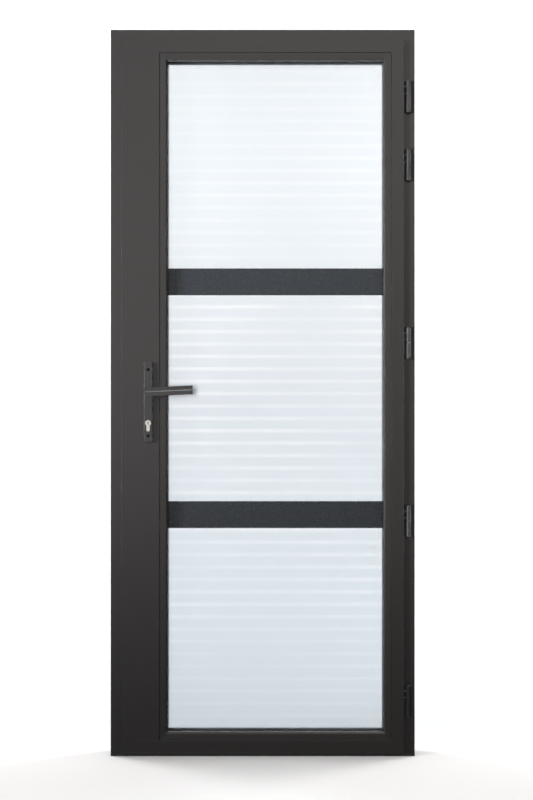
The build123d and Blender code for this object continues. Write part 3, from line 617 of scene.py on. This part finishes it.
# Handle screws: countersunk, through both plates
HANDLE_SCREW = {
    "face": 4.8,
    "base": 2.5,
    "height": 2.6,
    "shank": 2.4,
    "socket": 2.0,
    "depth": 1.9,
}
screws_and_keyway_shade_pins = screw_tree("black_socket_screws_and_shaded_pins", black_screw_and_keyway_shade)
low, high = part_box("handle_screws")
middle_x = (low.x + high.x) / 2
head_radius = HANDLE_SCREW["face"] * MM
spots = [(middle_x, low.y, z) for z in (low.z + head_radius, high.z - head_radius)]
shank_length = (high.y - low.y) / MM - HANDLE_SCREW["height"]
sizes = screw_sizes(**HANDLE_SCREW, length=shank_length, facing=TO_THE_ROOM)
piece = grown("handle_screw_set", screws_and_keyway_shade_pins, spots, [], sizes)
fitted(piece, "leaf", "steel", "handle_screws")

# Pins across the key slots, black as painted shade, so that the keyways read dark inside
KEY_PIN = {
    "face": 0.9,
    "base": 1.1,
    "height": 0.6,
    "shank": 1.0,
    "length": 7.6,
    "socket": 0.4,
    "depth": 0.2,
}
FIRST_PIN = 1.8
PIN_GAP = 2.6
PIN_COUNT = 4
PIN_TOP = 4.1 * MM
for side, inwards in (("inside", 1.0), ("outside", -1.0)):
    low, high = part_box(f"plug_{side}")
    mouth = low.y if side == "inside" else high.y
    axis_x, axis_z = (low.x + high.x) / 2, (low.z + high.z) / 2
    spots = [
        (axis_x, mouth + inwards * (FIRST_PIN + PIN_GAP * count) * MM, axis_z + PIN_TOP)
        for count in range(PIN_COUNT)
    ]
    sizes = screw_sizes(**KEY_PIN, facing=UPWARDS)
    body = "inner_plug" if side == "inside" else "outer_plug"
    fitted(grown(f"key_pins_{side}", screws_and_keyway_shade_pins, spots, [], sizes), body, "steel")

# Raised screws in the lock's faceplate, the strike plate, the keeps and the threshold
RAISED_SCREW = {
    "face": 2.5,
    "base": 3.6,
    "height": 0.9,
    "shank": 1.8,
    "length": 1.6,
    "socket": 1.4,
    "depth": 0.7,
}
HEAD_RISE = RAISED_SCREW["height"] * MM
FACEPLATE_END = 17 * MM
OFF_THE_BOLT = 60 * MM
steel_screws = screw_tree("steel_socket_screws", finishes["steel"])
low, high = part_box("lock_faceplate")
plate_y = (low.y + high.y) / 2
screw_levels = [
    low.z + FACEPLATE_END,
    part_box("hook_bolt_lower")[1].z + OFF_THE_BOLT,
    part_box("dead_bolt")[0].z - OFF_THE_BOLT,
    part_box("latch_bolt")[1].z + OFF_THE_BOLT,
    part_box("hook_bolt_upper")[0].z - OFF_THE_BOLT,
    high.z - FACEPLATE_END,
]
spots = [(low.x - HEAD_RISE, plate_y, z) for z in screw_levels]
sizes = screw_sizes(**RAISED_SCREW, facing=TO_THE_JAMB)
piece = grown("faceplate_screw_set", steel_screws, spots, [], sizes)
fitted(piece, "leaf", "steel")

KEEP_LENGTH = 74.5 * MM
KEEP_END = 10 * MM
strike_low, strike_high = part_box("strike_plate")
keep_low, keep_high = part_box("hook_keeps")
keep_levels = [
    strike_low.z + KEEP_END,
    strike_high.z - KEEP_END,
    keep_low.z + KEEP_END,
    keep_low.z + KEEP_LENGTH - KEEP_END,
    keep_high.z - KEEP_LENGTH + KEEP_END,
    keep_high.z - KEEP_END,
]
spots = [(strike_high.x + HEAD_RISE, plate_y, z) for z in keep_levels]
sizes = screw_sizes(**RAISED_SCREW, facing=TO_THE_LEAF)
piece = grown("keep_screw_set", steel_screws, spots, [], sizes)
fitted(piece, "frame", "steel")

THRESHOLD_SCREWS_X = (-0.33, -0.11, 0.11, 0.33)
THRESHOLD_SCREWS_Y = 0.024
threshold_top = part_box("threshold")[1].z
spots = [(x, THRESHOLD_SCREWS_Y, threshold_top + HEAD_RISE) for x in THRESHOLD_SCREWS_X]
sizes = screw_sizes(**RAISED_SCREW, facing=UPWARDS)
piece = grown("threshold_screw_set", steel_screws, spots, [], sizes)
fitted(piece, "frame", "steel")

# Hinge caps with a socket for the pin, above on the leaf's halves and below on the frame's; real
# caps, whose black is also painted shade for the dark at the barrels' ends
HINGE_CAP = {
    "face": 5.4,
    "base": 6.1,
    "height": 1.2,
    "shank": 3.4,
    "length": 2.0,
    "socket": 2.2,
    "depth": 0.9,
}
CAP_RISE = HINGE_CAP["height"] * MM
HINGE_COUNT = 5
hinge_caps = screw_tree("hinge_end_caps", finishes["polyamide"])
low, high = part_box("hinge_pins")
axis_x, axis_y = (low.x + high.x) / 2, (low.y + high.y) / 2
hinge_numbers = range(1, HINGE_COUNT + 1)
tops = [(axis_x, axis_y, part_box(f"hinge_leaf_half_{n}")[1].z + CAP_RISE) for n in hinge_numbers]
feet = [(axis_x, axis_y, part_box(f"hinge_frame_half_{n}")[0].z - CAP_RISE) for n in hinge_numbers]
sizes = screw_sizes(**HINGE_CAP, facing=UPWARDS)
fitted(grown("hinge_top_caps", hinge_caps, tops, [], sizes), "leaf", "polyamide")
sizes = screw_sizes(**HINGE_CAP, facing=DOWNWARDS)
fitted(grown("hinge_foot_caps", hinge_caps, feet, [], sizes), "frame", "polyamide")


def seal_path(node_name, width, depth_place, is_closed):
    """The middle line of a seal, in from the box of its node, and the edges along it."""
    low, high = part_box(node_name)
    half = width * MM / 2
    foot = low.z + half if is_closed else low.z
    corners = [
        (low.x + half, depth_place, foot),
        (low.x + half, depth_place, high.z - half),
        (high.x - half, depth_place, high.z - half),
        (high.x - half, depth_place, foot),
    ]
    edges = [(0, 1), (1, 2), (2, 3)]
    if is_closed:
        corners.reverse()
        edges.append((3, 0))
    return corners, edges


def gasket_sizes(foot_width, foot_depth, lip_radius, lip_rise, lip_shift, bend_radius):
    """The gasket tree's inputs, from millimetres."""
    return {
        "Foot Width": foot_width * MM,
        "Foot Depth": foot_depth * MM,
        "Lip Radius": lip_radius * MM,
        "Lip Rise": lip_rise * MM,
        "Lip Shift": lip_shift * MM,
        "Bend Radius": bend_radius * MM,
    }


# Seals: a bulb on the frame's stop, a thin lip behind the leaf's overlap, and a wedge on each side
# of the glass
STOP_BULB = {
    "foot_width": 8.0,
    "foot_depth": 1.6,
    "lip_radius": 1.55,
    "lip_rise": -2.35,
    "lip_shift": 0.0,
    "bend_radius": 6.0,
}
OVERLAP_LIP = {
    "foot_width": 5.5,
    "foot_depth": 0.5,
    "lip_radius": 0.4,
    "lip_rise": 0.55,
    "lip_shift": 0.0,
    "bend_radius": 4.0,
}
gaskets = gasket_tree("drawn_gaskets", finishes["seal"])
stop_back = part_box("frame_stop_seal")[1].y
foot_middle = stop_back - STOP_BULB["foot_depth"] / 2 * MM
path = seal_path("frame_stop_seal", STOP_BULB["foot_width"], foot_middle, False)
piece = grown("stop_bulb_gasket", gaskets, *path, gasket_sizes(**STOP_BULB))
fitted(piece, "frame", "seal", "frame_stop_seal")

overlap_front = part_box("leaf_overlap_seal")[0].y
foot_middle = overlap_front + OVERLAP_LIP["foot_depth"] / 2 * MM
path = seal_path("leaf_overlap_seal", OVERLAP_LIP["foot_width"], foot_middle, True)
piece = grown("overlap_lip_gasket", gaskets, *path, gasket_sizes(**OVERLAP_LIP))
fitted(piece, "leaf", "seal", "leaf_overlap_seal")

GLAZING_SEAL_WIDTH = 10.0
WEDGE_FOOT_WIDTH = 7.6
WEDGE_FOOT_SHARE = 0.7
WEDGE_LIP_SHARE = 0.4
WEDGE_BEND = 6.0
for side in ("inner", "outer"):
    low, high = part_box(f"{side}_glazing_seal")
    seal_depth = (high.y - low.y) / MM
    path = seal_path(f"{side}_glazing_seal", GLAZING_SEAL_WIDTH, (low.y + high.y) / 2, True)
    lip_radius = seal_depth * WEDGE_LIP_SHARE
    sizes = gasket_sizes(
        foot_width=WEDGE_FOOT_WIDTH,
        foot_depth=seal_depth * WEDGE_FOOT_SHARE,
        lip_radius=lip_radius,
        lip_rise=0.0,
        lip_shift=GLAZING_SEAL_WIDTH / 2 - lip_radius,
        bend_radius=WEDGE_BEND,
    )
    piece = grown(f"{side}_glazing_gasket", gaskets, *path, sizes)
    fitted(piece, "leaf", "seal", f"{side}_glazing_seal")

# Brush under the leaf: three rows of tufts in a holder
BRUSH_SEED = 7
HOLDER_HEIGHT = 5.5 * MM
ROW_GAP = 3.2 * MM
ROW_INSET = 2 * MM
TUFT_ROOT = 1.0 * MM
TUFT_LEAN = 0.16
low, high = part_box("bottom_seal")
brush_y = (low.y + high.y) / 2
tuft_top = high.z - HOLDER_HEIGHT + TUFT_ROOT
row_ends = (low.x + ROW_INSET, high.x - ROW_INSET)
rows = [(x, brush_y + row * ROW_GAP, tuft_top) for row in (-1, 0, 1) for x in row_ends]
piece = grown(
    "bottom_brush",
    brush_tree("brush_tufts", finishes["polyamide"]),
    rows,
    [(0, 1), (2, 3), (4, 5)],
    {
        "Spacing": 2.2 * MM,
        "Tuft Radius": 0.8 * MM,
        "Tip Radius": 0.45 * MM,
        "Tuft Length": tuft_top - low.z,
        "Least Turn": (-TUFT_LEAN, -TUFT_LEAN, 0.0),
        "Most Turn": (TUFT_LEAN, TUFT_LEAN, math.pi),
        "Seed": BRUSH_SEED,
        "Holder Size": (high.x - low.x, high.y - low.y, HOLDER_HEIGHT),
        "Holder Place": ((low.x + high.x) / 2, brush_y, high.z - HOLDER_HEIGHT / 2),
    },
)
fitted(piece, "leaf", "polyamide", "bottom_seal")


def mesh_piece(name, points, faces, material):
    """A plain mesh object at the origin."""
    mesh = bpy.data.meshes.new(name)
    mesh.from_pydata(points, [], faces)
    mesh.materials.append(material)
    piece = bpy.data.objects.new(name, mesh)
    bpy.context.scene.collection.objects.link(piece)
    return piece


# Stage: a pale floor that curves up into a backdrop behind the door
FLOOR_FRONT = -3.0
FLOOR_HALF_WIDTH = 4.0
SWEEP_START = 1.6
SWEEP_RADIUS = 1.2
BACKDROP_TOP = 4.5
SWEEP_STEPS = 16

# The paper's colours, painted shade and light for what the satin pane shows: a darker cool grain
# behind the door as painted shade, whiter in front of it, and whiter up the backdrop as painted light
PAPER_SPOTS = 3.0
SHADED_COOL_GRAIN = ((0.70, 0.745, 0.78), (0.73, 0.775, 0.81))
FRONT_FLOOR = (0.93, 0.93, 0.93)
FRONT_STARTS = (0.4, -0.1)
UPPER_PAPER = (0.86, 0.87, 0.88)
PAPER_RISES = (0.0, 1.5)

pale, pale_tree, pale_shader, pale_place = finish_of("pale_paper", Roughness=0.9)
paper_spot = node(pale_tree, "ShaderNodeSeparateXYZ", {"Vector": pale_place}).outputs
# Painted shade: the paper behind the door is a darker cool grey, with a random grain
shaded_grain = colour_mix(pale_tree, noise(pale_tree, pale_place, PAPER_SPOTS), *SHADED_COOL_GRAIN)
in_front = ramp(pale_tree, paper_spot["Y"], *FRONT_STARTS)
floor_colour = colour_mix(pale_tree, in_front, shaded_grain, FRONT_FLOOR)
upward = ramp(pale_tree, paper_spot["Z"], *PAPER_RISES)
paper_colour = colour_mix(pale_tree, upward, floor_colour, UPPER_PAPER)
pale_tree.links.new(paper_colour, pale_shader.inputs["Base Color"])

# From behind, the paper is see-through, so that the door's outside can be looked at
paper_back = node(pale_tree, "ShaderNodeNewGeometry").outputs["Backfacing"]
open_back = node(pale_tree, "ShaderNodeBsdfTransparent").outputs["BSDF"]
paper_sides = node(
    pale_tree, "ShaderNodeMixShader", {0: paper_back, 1: pale_shader.outputs["BSDF"], 2: open_back}
).outputs["Shader"]
pale_tree.links.new(paper_sides, pale_tree.nodes["Material Output"].inputs["Surface"])

profile = [(FLOOR_FRONT, 0.0), (SWEEP_START, 0.0)]
for step in range(1, SWEEP_STEPS + 1):
    angle = math.pi / 2 * step / SWEEP_STEPS
    profile.append(
        (SWEEP_START + SWEEP_RADIUS * math.sin(angle), SWEEP_RADIUS * (1.0 - math.cos(angle)))
    )
profile.append((profile[-1][0], BACKDROP_TOP))
sweep_points = [(x, y, z) for y, z in profile for x in (-FLOOR_HALF_WIDTH, FLOOR_HALF_WIDTH)]
sweep_faces = [(2 * i, 2 * i + 1, 2 * i + 3, 2 * i + 2) for i in range(len(profile) - 1)]
backdrop = mesh_piece("paper_sweep", sweep_points, sweep_faces, pale)
for face in backdrop.data.polygons:
    face.use_smooth = True
backdrop.visible_diffuse = False
backdrop.visible_glossy = False


def area_light(name, place, aim, width, height, power, spread=180.0, is_mirrored=True):
    """A rectangular studio light that faces a point; the door's gloss mirrors it or not."""
    light = bpy.data.lights.new(name, "AREA")
    light.shape = "RECTANGLE"
    light.size = width
    light.size_y = height
    light.energy = power
    light.spread = math.radians(spread)
    lamp = bpy.data.objects.new(name, light)
    lamp.location = place
    lamp.rotation_euler = (Vector(aim) - Vector(place)).to_track_quat("-Z", "Y").to_euler()
    lamp.visible_glossy = is_mirrored
    bpy.context.scene.collection.objects.link(lamp)


area_light(
    "side_window",
    place=(-4.2, -2.0, 1.75),
    aim=(0.0, 0.0, 1.5),
    width=0.8,
    height=1.2,
    power=27.0,
    spread=34.0,
    is_mirrored=False,
)
# Two narrow strips that draw light lines on the round hinges
for name, place, width in (
    ("strip_left", (-2.8, -1.3, 1.5), 0.15),
    ("strip_right", (2.6, -2.1, 1.5), 0.12),
):
    area_light(name, place, aim=(0.43, 0.0, 1.4), width=width, height=2.6, power=3.0, spread=50.0)
area_light(
    "high_box",
    place=(-0.85, -8.0, 6.3),
    aim=(-0.3, 0.0, 1.1),
    width=1.2,
    height=0.8,
    power=22.0,
)
# Light on the backdrop, which shines through the satin pane
for name, x in (("behind_left", -2.4), ("behind_right", 2.4)):
    area_light(
        name,
        place=(x, 1.3, 2.6),
        aim=(0.0, 2.6, 0.9),
        width=1.6,
        height=2.2,
        power=100.5,
        is_mirrored=False,
    )


def grey_levels(tree, coordinate, levels):
    """Grey levels along one axis of the directions, each at a coordinate between -1 and 1."""
    made = node(tree, "ShaderNodeValToRGB", {"Fac": ramp(tree, coordinate, -1.0, 1.0)})
    stops = made.color_ramp.elements
    for _ in levels[2:]:
        stops.new(0.5)
    for stop, (place, level) in zip(stops, levels):
        stop.position = (place + 1.0) / 2
        stop.color = (level, level, level, 1.0)
    return made.outputs["Color"]


# World: pale bands with a dark one under the horizon, dimmer and warmer to the right, yet brighter
# there overhead; plain white to the camera
HEIGHT_BANDS = [
    (-1.0, 1.1),
    (-0.5, 1.0),
    (-0.36, 0.05),
    (-0.25, 0.03),
    (-0.17, 0.12),
    (-0.05, 0.95),
    (0.1, 0.75),
    (1.0, 0.9),
]
SIDE_LEVELS = [(-1.0, 1.0), (-0.12, 1.0), (0.1, 0.5), (0.35, 0.3), (1.0, 0.3)]
OVERHEAD_HEIGHTS = (0.08, 0.2)
OVERHEAD_REACH = (0.15, 0.4)
TOP_CROSSES = (-0.06, 0.06)
TOP_LEFT_LEVEL = 0.72
TOP_RIGHT_LEVEL = 1.5
WARMTH_CROSSES = (-0.1, 0.1)
LEFT_TINT = (1.0, 0.99, 0.99)
RIGHT_TINT = (1.0, 0.93, 0.88)
WHITE = (1.0, 1.0, 1.0)

world = bpy.data.worlds.new("studio_world")
bpy.context.scene.world = world
world.use_nodes = True
sky = world.node_tree
background = sky.nodes["Background"]
direction = node(sky, "ShaderNodeTexCoord").outputs["Generated"]
heading = node(sky, "ShaderNodeSeparateXYZ", {"Vector": direction}).outputs
bands = grey_levels(sky, heading["Z"], HEIGHT_BANDS)
sides = grey_levels(sky, heading["X"], SIDE_LEVELS)
overhead = ramp(sky, heading["Z"], *OVERHEAD_HEIGHTS, blend="SMOOTHSTEP")
not_right = ramp(sky, heading["X"], *OVERHEAD_REACH, 1.0, 0.0)
top_level = ramp(sky, heading["X"], *TOP_CROSSES, TOP_LEFT_LEVEL, TOP_RIGHT_LEVEL)
side_level = number_mix(sky, times(sky, overhead, not_right), sides, top_level)
seen = node(sky, "ShaderNodeLightPath").outputs["Is Camera Ray"]
glow = number_mix(sky, seen, times(sky, bands, side_level), 1.0)
sky.links.new(glow, background.inputs["Strength"])
warmth = ramp(sky, heading["X"], *WARMTH_CROSSES)
tint = colour_mix(sky, warmth, LEFT_TINT, RIGHT_TINT)
sky.links.new(colour_mix(sky, seen, tint, WHITE), background.inputs["Color"])

# Camera
camera_data = bpy.data.cameras.new("photo_camera")
camera_data.sensor_fit = "VERTICAL"
camera_data.sensor_height = SENSOR_HEIGHT
camera_data.sensor_width = SENSOR_HEIGHT * IMAGE_WIDTH / IMAGE_HEIGHT
camera_data.lens = SENSOR_HEIGHT * CAMERA_DISTANCE / VIEW_HEIGHT
camera = bpy.data.objects.new("photo_camera", camera_data)
camera.location = (CAMERA_X, LEAF_FACE - CAMERA_DISTANCE, CAMERA_HEIGHT)
camera.rotation_euler = (math.pi / 2, 0.0, 0.0)
bpy.context.scene.collection.objects.link(camera)
bpy.context.scene.camera = camera
bpy.context.scene.view_settings.view_transform = "Standard"
